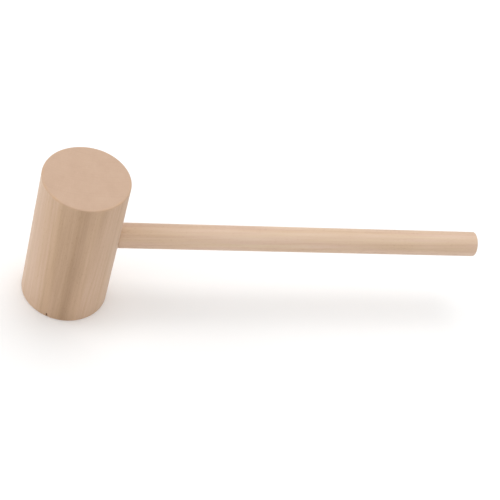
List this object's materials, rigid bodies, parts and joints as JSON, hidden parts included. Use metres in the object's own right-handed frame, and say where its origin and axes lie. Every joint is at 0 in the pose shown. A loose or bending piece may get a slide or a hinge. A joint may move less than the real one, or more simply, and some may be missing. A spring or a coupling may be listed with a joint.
{
  "type": "carving mallet",
  "caption": "Wooden carving mallet: a plain turned cylinder head with end-grain striking faces, on a straight round dowel handle glued into its side.",
  "frame": {"origin": "centre of the lower striking face, on the head's axis", "axes": "+Z along the head's axis, from the lower striking face to the upper one; +X along the handle, from the head to the grip end; +Y completes a right-handed frame"},
  "size_m": [0.292, 0.054, 0.1],
  "materials": {
    "head_wood": "turned and sanded beech, unfinished",
    "handle_wood": "planed and sanded beech dowel, unfinished",
    "wood_glue": "cured wood glue, translucent amber"
  },
  "bodies": {
    "root": {"head": "head_wood", "handle": "handle_wood", "glue_line": "wood_glue"}
  },
  "joints": []
}
